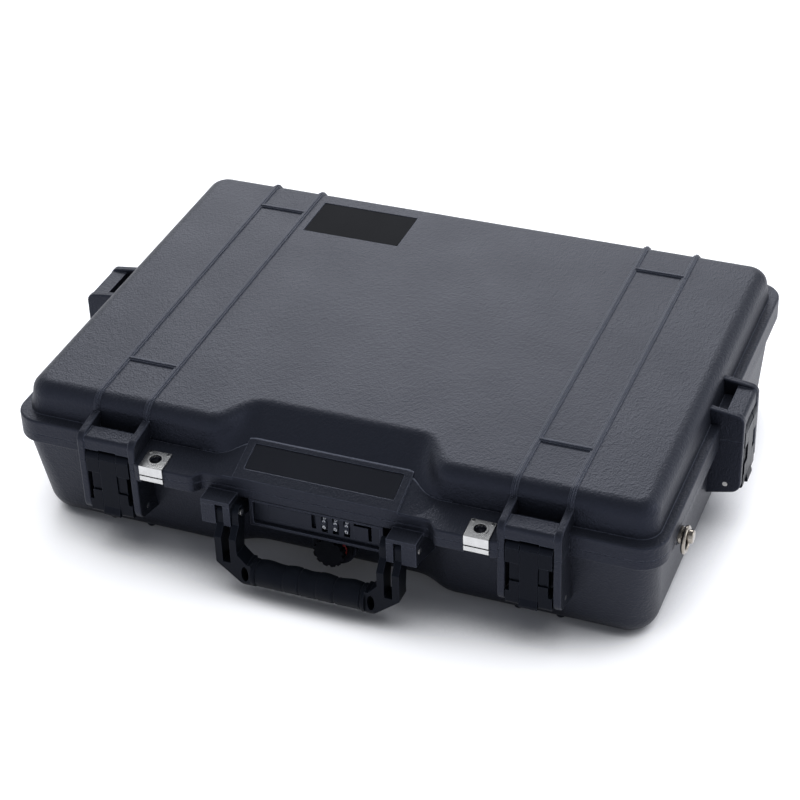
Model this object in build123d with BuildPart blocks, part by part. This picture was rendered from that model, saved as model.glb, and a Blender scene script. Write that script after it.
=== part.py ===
from build123d import *
import math
import os

# Hard laptop case: two moulded shells, hinged at the back, with latches,
# a carrying handle, a combination lock and a purge valve at the front.
#
# Millimetres. +X right, -Y front (the handle side), +Z up.  The origin is on
# the floor, in the middle of the parting outline.

os.makedirs("parts", exist_ok=True)

RIB_MIDDLE = 168.3           # middle of each pair of ribs, fins and front latches

# ---- heights -----------------------------------------------------------
LIP_BOTTOM = 80.0            # underside of the base's rim
PARTING = 88.6               # underside of the lid
SEAM = 0.3                   # open seam between the two rims
FLANGE_TOP = 100.6           # top of the lid's rim
LID_TOP = 126.3              # flat of the lid

# ---- plan sizes, as half widths (X) and half depths (Y) ------------------
RIM_X, RIM_Y, RIM_CORNER = 261.0, 188.0, 22.0
FOOT_X, FOOT_Y, FOOT_CORNER = 251.0, 171.5, 25.0
WALL_X, WALL_Y, WALL_CORNER = 255.5, 184.5, 18.0
DOME_FOOT_X, DOME_FOOT_Y, DOME_FOOT_CORNER = 253.5, 178.0, 16.0
DOME_TOP_X, DOME_TOP_Y, DOME_TOP_CORNER = 250.5, 175.0, 18.0
BASE_WALL = 4.5              # moulded wall of the base
LID_WALL = 4.0               # moulded wall of the lid
BASE_EDGE = 22.0             # round along the bottom edge
LID_EDGE = 12.0              # round along the top edge
RIM_ROUND = 1.6              # round along the outer edges of both rims
LID_CAVITY_CORNERS = (20.0, 18.0)    # inside corners of the lid, at its rim and at its top
THROUGH = 100.0              # length of a cut that goes right through

NUB_R, NUB_INSET, NUB_Z = 4.0, 9.5, 4.0     # round stacking nubs along the bottom edge
NUB_PLACES = (-193.7, -161.0, 146.5, 179.5)

# ---- front scoop, which leaves room for the hand -----------------------------
SCOOP_START, SCOOP_END = 60.0, 98.0
BASE_SCOOP_FOOT = 158.5      # depth of the drawn-back front at the foot
BASE_SCOOP_WALL = 173.0      # the same under the rim
LID_SCOOP_FOOT = 177.5
LID_SCOOP_TOP = 138.0

# ---- front bump-out of both rims --------------------------------------------
BUMP_X, BUMP_Y, BUMP_CORNER = 147.0, 208.0, 6.0
BUMP_BACK_TOP, BUMP_FRONT_TOP = 98.9, 95.5   # its top slopes from the lid's wall to its front
BUMP_RECESS_Y = 200.5        # its front behind the handle's brackets
BUMP_START, BUMP_END = 88.0, 100.0   # between them its front swings out
NOSE_X = 66.0                # half width of the raised nose
NOSE_BACK = (-148.0, 114.6)  # where the nose's slope leaves the lid
NOSE_FRONT = (-200.5, 98.0)  # front edge of the slope
NOSE_STEP = 1.2              # the nose stands this proud of its ramps
# The nose's side ramps: at each X, this share of the nose's height above the bump-out.
RAMP_SHARES = ((66.0, 1.0), (74.0, 0.87), (83.0, 0.5), (92.0, 0.13), (100.0, 0.0))
PANEL_X, PANEL_DEPTH, PANEL_RECESS = 60.0, 24.0, 1.2
PANEL_THICKNESS, PANEL_CORNER = 0.8, 1.0
PANEL_MID_Y = -180.0

# ---- seal --------------------------------------------------------------------
SEAL_INSET = 5.0             # centre line of the seal, in from the rim's edge
TONGUE_WIDTH, TONGUE_HEIGHT = 2.4, 1.3
GROOVE_WIDTH, GROOVE_DEPTH = 5.6, 4.0
GASKET_WIDTH, GASKET_HEIGHT = 5.6, 2.7

# ---- ribs and fins --------------------------------------------------------------
RIB_OFFSET = 21.3            # each rib from the middle of its pair
RIB_WIDTH, RIB_HEIGHT = 4.4, 1.0
RIDGE_WIDTH, RIDGE_HEIGHT = 1.6, 1.7
CROSS_RIBS_Y = (-119.3, 132.8)
FIN_THICKNESS = 6.0
FIN_REACH = 18.0             # how far a fin stands out from the rim
FIN_TOP_BACK, FIN_TOP_FRONT = 115.5, 111.0
FIN_BOTTOM, FIN_FOOT = 41.5, 35.0    # lower end, at the front and at the wall
FIN_ROUND, FIN_FOOT_ROUND = 7.0, 9.0
FIN_EDGE = 1.2               # round along a fin's own edges
WEB_IN, WEB_BOTTOM = 1.0, 44.0       # web between the base's fins, behind the rim's face

# ---- latches, drawn about the rim's face with -Y outward ---------------------------
KEEPER_REACH, KEEPER_BACK = 17.0, 2.5    # the keeper's front and back, out from the rim
KEEPER_BACK_TOP, KEEPER_FRONT_TOP = 110.3, 109.5
KEEPER_ROUND = 3.0
KEEPER_UNDERSIDE = 98.7
LATCH_HALF = 17.7            # half width of a latch between its fins
LATCH_FACE = 18.5            # its front face, out from the rim
LATCH_PLATE = 6.0            # thickness of its plate
LATCH_BOTTOM = 41.0
LATCH_ROLL_R = 5.8           # rolled top of the plate, about the lever's pin
LATCH_WINDOW = 7.3           # half width of the window for the lever
LEVER_ROOM = 0.8             # step in the keeper above the lever
LATCH_SLIT_UP = 63.0
LATCH_STEP_UP, LATCH_STEP = 79.0, 1.2    # below this the frame's columns are thinner
LATCH_WAIST_UP, LATCH_WAIST = 53.0, 3.0  # from here to the step they are narrower
LATCH_PIN_OUT, LATCH_PIN_UP, LATCH_PIN_R = 6.0, 47.0, 2.0
LEVER_HALF = 6.9
LEVER_PIN_OUT, LEVER_PIN_UP, LEVER_PIN_R = 12.5, 92.0, 1.5
LATCH_FOOT_ROUND = 2.5
LATCH_SLIT, LATCH_SLIT_DEPTH = 1.2, 2.0
BARREL_R, BARREL_HALF = 5.0, 16.7        # the frame's barrel about its pivot pin
LATCH_TIE_UP, LATCH_TIE_HEIGHT = 68.5, 30.0  # sheet behind the window that ties both columns
LATCH_TIE_HALF, LATCH_TIE_SHEET = 14.7, 2.4
LEVER_PIN_HALF = 15.2
LEVER_HEAD_R = 5.5
LEVER_BOTTOM = 40.0
LEVER_SHEET, LEVER_ROUND, LEVER_BEVEL = 4.3, 1.2, (2.0, 4.0)
LEVER_LIP, LEVER_LIP_START, LEVER_LIP_END = 1.5, 8.0, 3.0    # finger lip at the lever's lower end
RUNNING = 0.05               # radial clearance of a turning pin

# ---- hinges at the back -----------------------------------------------------------------
HINGE_OUT = 11.0             # pivot behind the rim
HINGE_PIN_R = 2.5
KNUCKLE_R = 8.0
LID_EAR_IN, LID_EAR_OUT = 28.0, 34.0
BASE_EAR_IN, BASE_EAR_OUT = 20.0, 27.7
EAR_STEP, EAR_KNEE, EAR_TOP_OUT = 3.0, (6.0, 115.0), 15.0    # corners of a lid ear
EAR_FOOT, EAR_FOOT_OUT, EAR_RISE = 4.0, 12.0, 6.0            # corners of a base ear
PIN_HEAD_R, PIN_HEAD = 4.0, 1.5

# ---- handle and its brackets ---------------------------------------------------------------
PIVOT_Y, PIVOT_Z = -209.0, 73.5
BRACKET_IN, BRACKET_OUT = 62.5, 86.0
BRACKET_FRONT, BRACKET_TOP, BRACKET_BOTTOM = -216.0, 84.0, 63.0
BRACKET_LIP, BRACKET_ROOT_Y = 6.0, -150.0    # depth of its underside, and its end in the wall
BRACKET_KNEE, BRACKET_ROOT_Z = (-180.0, 53.0), 50.0
SLOT_IN, SLOT_OUT, SLOT_BACK, SLOT_TOP = 68.0, 74.6, -199.0, 81.2
SIDE_GAP = 0.5               # beside each prong of the handle
PRONG_HEAD_R = 5.5
INNER_PRONG = 5.5            # thickness of the prong inside the bracket
PRONG_DROP, ARM_SHOULDER = 9.0, 18.0     # straight prong below the pivot, and the arm's shoulder
ARM_BACK_KNEE = 40.0         # height where the arm's back leans in to the prong
HANDLE_PIN_R, HANDLE_PIN_END = 2.5, 0.6  # the pin's end stands out of the bracket
ARM_BOTTOM, ARM_FOOT_ROUND = 13.0, 4.0
ARM_OUTER_KNEE = 32.0        # below this the arm leans in to the grip
GUSSET_TOP, GUSSET_OUTER, GUSSET_X = 34.0, 42.0, 3.0
FOOT_X_OUT = 5.0             # the arm's foot reaches this far past the grip
FOOT_HOLE_Z, FOOT_HOLE = 25.0, (3.0, 7.0)    # oval hole beside each end of the grip
FORK_BOTTOM = 33.0           # root of the slot between an arm's two prongs
ARM_FRONT, ARM_BACK = -222.0, -208.0
ARM_OUT = 74.1               # outer face of the handle's arms
GRIP_HALF, GRIP_Y, GRIP_Z = 46.0, -215.0, 23.5
GRIP_DEPTH, GRIP_HEIGHT, GRIP_WAVE = 20.0, 23.0, 1.6
GRIP_WAVE_SHARES = (0.0, 0.5, 1.0, 0.5)      # one finger wave, over four stations
GRIP_STATIONS = 16
CORE_DEPTH, CORE_HEIGHT = 9.0, 11.0

# ---- combination lock -----------------------------------------------------------------------
BAY_X, BAY_FRONT, BAY_BOTTOM = 54.0, -200.0, 56.0
LOCK_X, LOCK_BOTTOM, LOCK_TOP = 50.7, 58.3, 78.0
LOCK_FACE, LOCK_BACK = -197.5, -184.0
DIAL_X = (6.0, 15.0, 24.0)
DIAL_R, DIAL_WIDTH, DIAL_Y, DIAL_Z = 7.0, 4.4, -191.8, 69.0
DIAL_AXLE_R = 1.5
DIAL_AXLE = DIAL_X[-1] - DIAL_X[0] + DIAL_WIDTH + 5
DIGITS, CLICK_NOTCH = 10, 0.8        # notches between the digits of a dial
SLIDER_X0, SLIDER_X1, SLIDER_Z0, SLIDER_Z1 = -38.7, -4.2, 63.5, 76.0
SLIDER_TRAVEL = 3.0
SLIDER_SHEET, SLIDER_PROUD, SLIDER_RECESS = 3.2, 0.5, 3.0
BUTTON_X0, BUTTON_X1, BUTTON_Z0, BUTTON_Z1 = 30.0, 41.6, 62.4, 74.6
BUTTON_LONG, BUTTON_PROUD, BUTTON_ROOM, BUTTON_DEPTH = 8.0, 1.0, (2.5, 2.2), 12.0
FIT = 0.3                    # clearance beside a sliding or fitted piece

HASP_ROOM, BOLT_ROOM = 1.0, 6.0      # open space beside the hasp, and behind the slider
HASP_X0, HASP_X1, HASP_Y, HASP_SHEET, HASP_BOTTOM = -27.0, -14.0, -191.0, 2.0, 62.5
NOTCH_DEPTH, NOTCH_Z0, NOTCH_Z1 = 7.0, 66.5, 72.5
BOLT_X0, BOLT_X1, BOLT_BACK = -37.0, -28.0, -189.6

# ---- padlock protectors ------------------------------------------------------------------------
PADLOCK_X, PADLOCK_Y, PADLOCK_R = 129.6, -199.5, 4.8
PLATE_HALF, PLATE_SHEET, PLATE_BACK = 9.6, 1.5, -190.5
EYE_WIDTH, EYE_HEIGHT, EYE_SUNK = 1.6, 0.7, 0.4      # drawn ring round the hole
PLATE_BACK_OFF = 0.4         # gap between a plate's bent edge and the parting
PADLOCK_CUT = 30.0           # length of the cut for a padlock hole
DIMPLE_R, DIMPLE_INSET = 1.3, 2.2    # dimple at each back corner of a plate
PADLOCK_UNDERSIDE = 85.3     # the base's rim is thinner around its padlock holes

# ---- purge valve ---------------------------------------------------------------------------------
VALVE_X, VALVE_Z = 0.0, 27.0
VALVE_SEAT_Y, VALVE_BOSS_R = -169.0, 18.0
VALVE_BOSS = 20.0            # length of the boss, which ends in the wall
VALVE_FLANGE_R, VALVE_FLANGE, VALVE_SHANK_R, VALVE_SHANK = 16.0, 3.0, 7.0, 6.0
VALVE_KNOB_R, VALVE_KNOB, KNURLS, KNURL_R = 12.5, 6.0, 12, 1.4
VALVE_STEM_R, VALVE_STEM, STEM_START, BORE_START = 4.0, 10.0, 3.7, 4.0
ORING_R, ORING_CORD = 11.0, 1.3

# ---- strap studs ---------------------------------------------------------------------------------
STUD_Y, STUD_Z, STUD_R, STUD_BOSS = -138.0, 81.0, 8.0, 15.0
STUD_HEAD_ROUND = 1.5
STUD_SHANK_R, STUD_COLLAR_R, STUD_NECK_R, STUD_HEAD_R = 4.0, 6.8, 3.6, 5.2
STUD_SHANK, STUD_COLLAR, STUD_NECK, STUD_HEAD = 7.0, 2.0, 5.0, 3.5
RING_R, RING_WIRE = 9.3, 1.7

# ---- linings and plates --------------------------------------------------------------------------
LABEL_X0, LABEL_X1, LABEL_Y0, LABEL_Y1 = -138.0, -52.0, 106.0, 155.0
LABEL_RECESS, LABEL_THICKNESS, LABEL_CORNER = 0.9, 0.6, 3.0
PLATE_GAP = 0.5              # between a stuck-on plate and the edge of its recess
FLOOR = 4.5                  # inside floor of the base
POCKET_X, POCKET_Y, POCKET_CORNER, POCKET_FLOOR = 203.0, 140.0, 10.0, 34.0
FINGER_LONG, FINGER_WIDE = 90.0, 34.0    # finger slots at the pocket's front and back
FOAM_TOP = 79.5
LID_FOAM_BOTTOM = 80.5


def shell_outline(height, half_x, half_y, corner, scoop_y):
    """Rounded rectangle whose front is drawn back to scoop_y behind the handle."""
    side_x, side_y = half_x - corner, half_y - corner
    with BuildSketch(Plane.XY.offset(height), mode=Mode.PRIVATE) as outline:
        with BuildLine():
            for side in (-1, 1):
                Line((side * SCOOP_END, -half_y), (side * side_x, -half_y))
                Spline(
                    (side * SCOOP_END, -half_y),
                    (side * SCOOP_START, -scoop_y),
                    tangents=[(-side, 0), (-side, 0)],
                )
                CenterArc((side * side_x, -side_y), corner, -90, side * 90)
                Line((side * half_x, -side_y), (side * half_x, side_y))
                CenterArc((side * side_x, side_y), corner, 90, -side * 90)
            Line((-SCOOP_START, -scoop_y), (SCOOP_START, -scoop_y))
            Line((-side_x, half_y), (side_x, half_y))
        make_face()
    return outline.sketch


def bump_outline(height):
    """Outline of both rims' front bump-out, drawn back behind the handle's brackets."""
    with BuildSketch(Plane.XY.offset(height), mode=Mode.PRIVATE) as outline:
        with BuildLine():
            for side in (-1, 1):
                Line((side * BUMP_X, 0), (side * BUMP_X, -BUMP_Y))
                Line((side * BUMP_X, -BUMP_Y), (side * BUMP_END, -BUMP_Y))
                Spline(
                    (side * BUMP_END, -BUMP_Y),
                    (side * BUMP_START, -BUMP_RECESS_Y),
                    tangents=[(-side, 0), (-side, 0)],
                )
            Line((-BUMP_START, -BUMP_RECESS_Y), (BUMP_START, -BUMP_RECESS_Y))
            Line((-BUMP_X, 0), (BUMP_X, 0))
        make_face()
        corners = vertices().filter_by(lambda corner: abs(corner.X) > BUMP_X - 1 and corner.Y < -BUMP_Y + 1)
        fillet(corners, BUMP_CORNER)
    return outline.sketch


def bump_top(y):
    """Height of the bump-out's sloping top."""
    run = (y + DOME_FOOT_Y) / (DOME_FOOT_Y - BUMP_Y)
    return BUMP_BACK_TOP + run * (BUMP_FRONT_TOP - BUMP_BACK_TOP)


def ledge_room(start):
    """Room of a rim's front ledge, in front of the wall that starts at this depth."""
    with BuildPart(mode=Mode.PRIVATE) as room:
        with Locations((0, -start, LIP_BOTTOM)):
            Box(2 * BUMP_X, RIM_Y, FLANGE_TOP - LIP_BOTTOM, align=(Align.CENTER, Align.MAX, Align.MIN))
    return room.part


def seal_ring(width):
    """Sketch the band, width across, that follows the seal round both rims."""
    reach = width / 2 - SEAL_INSET
    corner = RIM_CORNER - SEAL_INSET
    RectangleRounded(2 * (RIM_X + reach), 2 * (RIM_Y + reach), corner + width / 2)
    RectangleRounded(
        2 * (RIM_X + reach - width), 2 * (RIM_Y + reach - width), corner - width / 2, mode=Mode.SUBTRACT
    )


def dome(grow):
    """The lid's outer form above its rim, grown outward by a small amount."""
    foot = shell_outline(
        FLANGE_TOP, DOME_FOOT_X + grow, DOME_FOOT_Y + grow, DOME_FOOT_CORNER, LID_SCOOP_FOOT + grow
    )
    top = shell_outline(
        LID_TOP + grow, DOME_TOP_X + grow, DOME_TOP_Y + grow, DOME_TOP_CORNER, LID_SCOOP_TOP + grow
    )
    with BuildPart(mode=Mode.PRIVATE) as form:
        loft(sections=[foot, top], ruled=True)
        fillet(form.faces().sort_by(Axis.Z)[-1].edges(), LID_EDGE)
    return form.part


def tub(bottom, top, low, high, edge):
    """A tapered tub between two outlines, with a rounded bottom edge."""
    with BuildPart(mode=Mode.PRIVATE) as form:
        loft(sections=[shell_outline(bottom, *low), shell_outline(top, *high)], ruled=True)
        fillet(form.faces().sort_by(Axis.Z)[0].edges(), edge)
    return form.part


def finish(piece, name):
    """Label a finished piece and write it."""
    piece.part.label = name
    export_step(piece.part, f"parts/{name}.step")
    print(name, round(piece.part.volume / 1000, 2), "cm3", len(piece.part.solids()), "solids")


# Where the four latches sit: a point on the rim's face, and the turn of -Y outward.
LATCH_SEATS = {
    "front_left": Location((-RIB_MIDDLE, -RIM_Y, 0)),
    "front_right": Location((RIB_MIDDLE, -RIM_Y, 0)),
    "side_left": Location((-RIM_X, 0, 0), (0, 0, -90)),
    "side_right": Location((RIM_X, 0, 0), (0, 0, 90)),
}
HINGE_SEATS = {
    "left": Location((-RIB_MIDDLE, RIM_Y, 0), (0, 0, 180)),
    "right": Location((RIB_MIDDLE, RIM_Y, 0), (0, 0, 180)),
}
DEEP = 40.0                  # reach of a guard or ear into its shell, before it is trimmed


# ---- latch guards and hinge ears, drawn about the rim's face with -Y outward ------------
# A guard is two fins beside a latch.  The lid's has the keeper between them, and the
# base's a web along the wall.
with BuildPart() as lid_guard:
    for side in (-1, 1):
        with BuildSketch(Plane.YZ.offset(side * RIB_OFFSET)):
            with BuildLine():
                Polyline(
                    (DEEP, PARTING), (-FIN_REACH, PARTING), (-FIN_REACH, FIN_TOP_FRONT),
                    (15, FIN_TOP_BACK), (DEEP, FIN_TOP_BACK), close=True,
                )
            make_face()
            fillet(vertices().group_by(Axis.X)[0].sort_by(Axis.Y)[-1], FIN_ROUND)
        extrude(amount=FIN_THICKNESS / 2, both=True)
    outlines = lid_guard.faces().filter_by(Axis.X).edges()
    fillet(outlines.filter_by(lambda edge: edge.center().Z > PARTING and edge.center().Y < DEEP), FIN_EDGE)
    with BuildSketch(Plane.YZ):
        with BuildLine():
            Polyline(
                (-KEEPER_BACK, KEEPER_UNDERSIDE), (-KEEPER_REACH, KEEPER_UNDERSIDE),
                (-KEEPER_REACH, KEEPER_FRONT_TOP), (-KEEPER_BACK, KEEPER_BACK_TOP), close=True,
            )
        make_face()
        fillet(vertices().group_by(Axis.X)[0].sort_by(Axis.Y)[-1], KEEPER_ROUND)
    extrude(amount=RIB_OFFSET, both=True)
    # room for the head of the latch's lever
    with Locations((0, -KEEPER_REACH, KEEPER_UNDERSIDE)):
        Box(2 * LATCH_WINDOW, 2 * KEEPER_REACH, 2 * LEVER_ROOM, mode=Mode.SUBTRACT)

with BuildPart() as base_guard:
    for side in (-1, 1):
        with BuildSketch(Plane.YZ.offset(side * RIB_OFFSET)):
            with BuildLine():
                Polyline(
                    (DEEP, PARTING - SEAM), (-FIN_REACH, PARTING - SEAM), (-FIN_REACH, FIN_BOTTOM),
                    (10, FIN_FOOT), (DEEP, FIN_FOOT), close=True,
                )
            make_face()
            fillet(vertices().group_by(Axis.X)[0].sort_by(Axis.Y)[0], FIN_FOOT_ROUND)
        extrude(amount=FIN_THICKNESS / 2, both=True)
    outlines = base_guard.faces().filter_by(Axis.X).edges()
    low = PARTING - SEAM
    fillet(outlines.filter_by(lambda edge: edge.center().Z < low and edge.center().Y < DEEP), FIN_EDGE)
    with Locations((0, WEB_IN, WEB_BOTTOM)):
        Box(
            2 * RIB_OFFSET, DEEP - WEB_IN, LIP_BOTTOM - WEB_BOTTOM,
            align=(Align.CENTER, Align.MIN, Align.MIN),
        )
    with Locations(Location((0, -LATCH_PIN_OUT, LATCH_PIN_UP), (0, 90, 0))):
        Cylinder(LATCH_PIN_R, 4 * RIB_OFFSET, mode=Mode.SUBTRACT)

with BuildPart() as lid_ears:
    ear_mid = (LID_EAR_IN + LID_EAR_OUT) / 2
    for side in (-1, 1):
        with BuildSketch(Plane.YZ.offset(side * ear_mid)):
            with BuildLine():
                Polyline(
                    (DEEP, PARTING), (-HINGE_OUT, PARTING), (-HINGE_OUT - KNUCKLE_R, PARTING),
                    (-HINGE_OUT - KNUCKLE_R, PARTING + EAR_STEP), (-HINGE_OUT - EAR_STEP, FLANGE_TOP),
                    EAR_KNEE, (EAR_TOP_OUT, FIN_TOP_BACK), (DEEP, FIN_TOP_BACK), close=True,
                )
            make_face()
            with Locations((-HINGE_OUT, PARTING)):
                Circle(KNUCKLE_R)
        extrude(amount=(LID_EAR_OUT - LID_EAR_IN) / 2, both=True)
    with Locations(Location((0, -HINGE_OUT, PARTING), (0, 90, 0))):
        Cylinder(HINGE_PIN_R + RUNNING, 4 * LID_EAR_OUT, mode=Mode.SUBTRACT)

with BuildPart() as base_ears:
    ear_mid = (BASE_EAR_IN + BASE_EAR_OUT) / 2
    for side in (-1, 1):
        with BuildSketch(Plane.YZ.offset(side * ear_mid)):
            with BuildLine():
                Polyline(
                    (DEEP, LIP_BOTTOM), (0, PARTING - SEAM), (-HINGE_OUT, PARTING - SEAM),
                    (-HINGE_OUT - KNUCKLE_R, PARTING - EAR_STEP),
                    (-HINGE_OUT - EAR_FOOT, LIP_BOTTOM - EAR_FOOT), (EAR_FOOT_OUT, FIN_BOTTOM + EAR_RISE),
                    (DEEP, FIN_BOTTOM + EAR_RISE), close=True,
                )
            make_face()
            with Locations((-HINGE_OUT, PARTING)):
                Circle(KNUCKLE_R)
        extrude(amount=(BASE_EAR_OUT - BASE_EAR_IN) / 2, both=True)
    with Locations(Location((0, -HINGE_OUT, PARTING), (0, 90, 0))):
        Cylinder(HINGE_PIN_R, 4 * BASE_EAR_OUT, mode=Mode.SUBTRACT)


# ---- base shell -------------------------------------------------------------------------
base_foot = (FOOT_X, FOOT_Y, FOOT_CORNER, BASE_SCOOP_FOOT)
base_wall = (WALL_X, WALL_Y, WALL_CORNER, BASE_SCOOP_WALL)
inner_foot = tuple(size - BASE_WALL for size in base_foot)
inner_wall = tuple(size - BASE_WALL for size in base_wall)

with BuildPart() as base_rim:
    with BuildSketch(Plane.XY.offset(LIP_BOTTOM)):
        RectangleRounded(2 * RIM_X, 2 * RIM_Y, RIM_CORNER)
        add(bump_outline(LIP_BOTTOM))
    extrude(amount=PARTING - SEAM - LIP_BOTTOM)
    fillet(base_rim.faces().sort_by(Axis.Z)[0].edges(), RIM_ROUND)
    for side in (-1, 1):
        with Locations((side * PADLOCK_X, PLATE_BACK + FIT, PADLOCK_UNDERSIDE)):
            Box(
                2 * (PLATE_HALF + FIT), BUMP_Y, PADLOCK_UNDERSIDE,
                align=(Align.CENTER, Align.MAX, Align.MAX), mode=Mode.SUBTRACT,
            )

with BuildPart() as base_form:
    add(tub(0, LIP_BOTTOM, base_foot, base_wall, BASE_EDGE))
    add(base_rim.part)

with BuildPart() as base_shell:
    add(base_form.part)
    for seat in HINGE_SEATS.values():
        with Locations(seat):
            add(base_ears.part)
    # the bay for the lock, the handle's brackets and the valve's boss
    with Locations((0, BAY_FRONT / 2, (BAY_BOTTOM + LIP_BOTTOM) / 2)):
        Box(2 * BAY_X, -BAY_FRONT, LIP_BOTTOM - BAY_BOTTOM)
    for side in (-1, 1):
        with BuildSketch(Plane.YZ.offset(side * (BRACKET_IN + BRACKET_OUT) / 2)):
            with BuildLine():
                Polyline(
                    (BRACKET_ROOT_Y, BRACKET_TOP), (BRACKET_FRONT, BRACKET_TOP),
                    (BRACKET_FRONT, BRACKET_BOTTOM), (BRACKET_FRONT + BRACKET_LIP, BRACKET_BOTTOM),
                    BRACKET_KNEE, (BRACKET_ROOT_Y, BRACKET_ROOT_Z), close=True,
                )
            make_face()
        extrude(amount=(BRACKET_OUT - BRACKET_IN) / 2, both=True)
        with Locations((side * (SLOT_IN + SLOT_OUT) / 2, SLOT_BACK, SLOT_TOP)):
            Box(
                SLOT_OUT - SLOT_IN, SLOT_BACK - BRACKET_FRONT + 1, SLOT_TOP - BRACKET_BOTTOM + BRACKET_LIP,
                align=(Align.CENTER, Align.MAX, Align.MAX), mode=Mode.SUBTRACT,
            )
        with Locations(Location((side * BRACKET_IN, PIVOT_Y, PIVOT_Z), (0, side * 90, 0))):
            Cylinder(HANDLE_PIN_R, THROUGH, mode=Mode.SUBTRACT)
    with Locations(Location((VALVE_X, VALVE_SEAT_Y, VALVE_Z), (-90, 0, 0))):
        Cylinder(VALVE_BOSS_R, VALVE_BOSS, align=(Align.CENTER, Align.CENTER, Align.MIN))
    # pocket for the lock, the hasp's slot above it, padlock holes and the valve's bore
    with Locations((0, (BAY_FRONT + LOCK_BACK) / 2, (LOCK_BOTTOM + LOCK_TOP) / 2)):
        Box(2 * (LOCK_X + FIT), LOCK_BACK - BAY_FRONT, LOCK_TOP - LOCK_BOTTOM, mode=Mode.SUBTRACT)
    with Locations(((HASP_X0 + HASP_X1) / 2, HASP_Y, PARTING)):
        Box(
            HASP_X1 - HASP_X0 + 2 * HASP_ROOM, HASP_SHEET + 3 * HASP_ROOM, 2 * (PARTING - LOCK_TOP),
            mode=Mode.SUBTRACT,
        )
    for side in (-1, 1):
        with Locations((side * PADLOCK_X, PADLOCK_Y, LIP_BOTTOM)):
            Cylinder(PADLOCK_R, PADLOCK_CUT, mode=Mode.SUBTRACT)
    with Locations(Location((VALVE_X, VALVE_SEAT_Y, VALVE_Z), (-90, 0, 0))):
        Cylinder(VALVE_SHANK_R, THROUGH, mode=Mode.SUBTRACT)
    # bosses for the strap studs, level with the parting plane
    for side in (-1, 1):
        with Locations(Location((side * RIM_X, STUD_Y, STUD_Z), (0, side * 90, 0))):
            Cylinder(STUD_R, STUD_BOSS, align=(Align.CENTER, Align.CENTER, Align.MAX))
        with Locations((side * RIM_X, STUD_Y, PARTING - SEAM)):
            Box(
                THROUGH, 3 * STUD_R, 2 * STUD_R, align=(Align.CENTER, Align.CENTER, Align.MIN),
                mode=Mode.SUBTRACT,
            )
    # stacking nubs on the bottom edge
    for nub_x in NUB_PLACES:
        with Locations((nub_x, NUB_INSET - FOOT_Y, NUB_Z), (nub_x, FOOT_Y - NUB_INSET, NUB_Z)):
            Sphere(NUB_R)
    # cavity, with the wall left all round
    add(tub(FLOOR, LIP_BOTTOM, inner_foot, inner_wall, BASE_EDGE - BASE_WALL), mode=Mode.SUBTRACT)
    with BuildSketch(Plane.XY.offset(LIP_BOTTOM)):
        add(shell_outline(0, *inner_wall))
    extrude(amount=THROUGH, mode=Mode.SUBTRACT)
    for side in (-1, 1):
        with Locations(Location((side * RIM_X, STUD_Y, STUD_Z), (0, side * 90, 0))):
            Cylinder(
                STUD_SHANK_R, STUD_SHANK, align=(Align.CENTER, Align.CENTER, Align.MAX),
                mode=Mode.SUBTRACT,
            )
    # tongue that presses on the gasket
    with BuildSketch(Plane.XY.offset(PARTING - SEAM)):
        seal_ring(TONGUE_WIDTH)
    extrude(amount=TONGUE_HEIGHT)

with BuildPart() as base_front_ledge:
    add(base_shell.part)
    add(ledge_room(RIM_Y), mode=Mode.INTERSECT)
with BuildPart() as base_tray:
    add(base_shell.part)
    add(ledge_room(RIM_Y), mode=Mode.SUBTRACT)
finish(base_tray, "base_shell")
finish(base_front_ledge, "base_front_ledge")

for place, seat in LATCH_SEATS.items():
    with BuildPart() as guard:
        with Locations(seat):
            add(base_guard.part)
        add(base_form.part, mode=Mode.SUBTRACT)
    finish(guard, f"base_latch_guard_{place}")


# ---- lid shell --------------------------------------------------------------------------
with BuildPart() as nose:
    with BuildSketch(Plane.YZ):
        with BuildLine():
            Polyline(
                NOSE_BACK, NOSE_FRONT, (NOSE_FRONT[0], PARTING), (NOSE_BACK[0], PARTING), close=True,
            )
        make_face()
    extrude(amount=NOSE_X, both=True)

with BuildPart() as nose_ramp:
    for place, share in RAMP_SHARES:
        with BuildSketch(Plane.YZ.offset(place)):
            with BuildLine():
                back_z, front_z = (
                    bump_top(y) + share * (z - bump_top(y)) - NOSE_STEP for y, z in (NOSE_BACK, NOSE_FRONT)
                )
                Polyline(
                    (NOSE_BACK[0], back_z), (NOSE_FRONT[0] + 1, front_z), (NOSE_FRONT[0] + 1, PARTING + 1),
                    (NOSE_BACK[0], PARTING + 1), close=True,
                )
            make_face()
    loft()

slope_run = NOSE_FRONT[0] - NOSE_BACK[0]
slope_rise = NOSE_FRONT[1] - NOSE_BACK[1]
panel_mid_z = NOSE_BACK[1] + slope_rise * (PANEL_MID_Y - NOSE_BACK[0]) / slope_run
panel_plane = Plane(
    origin=(0, PANEL_MID_Y, panel_mid_z), x_dir=(1, 0, 0), z_dir=(0, slope_rise, -slope_run)
)

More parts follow.
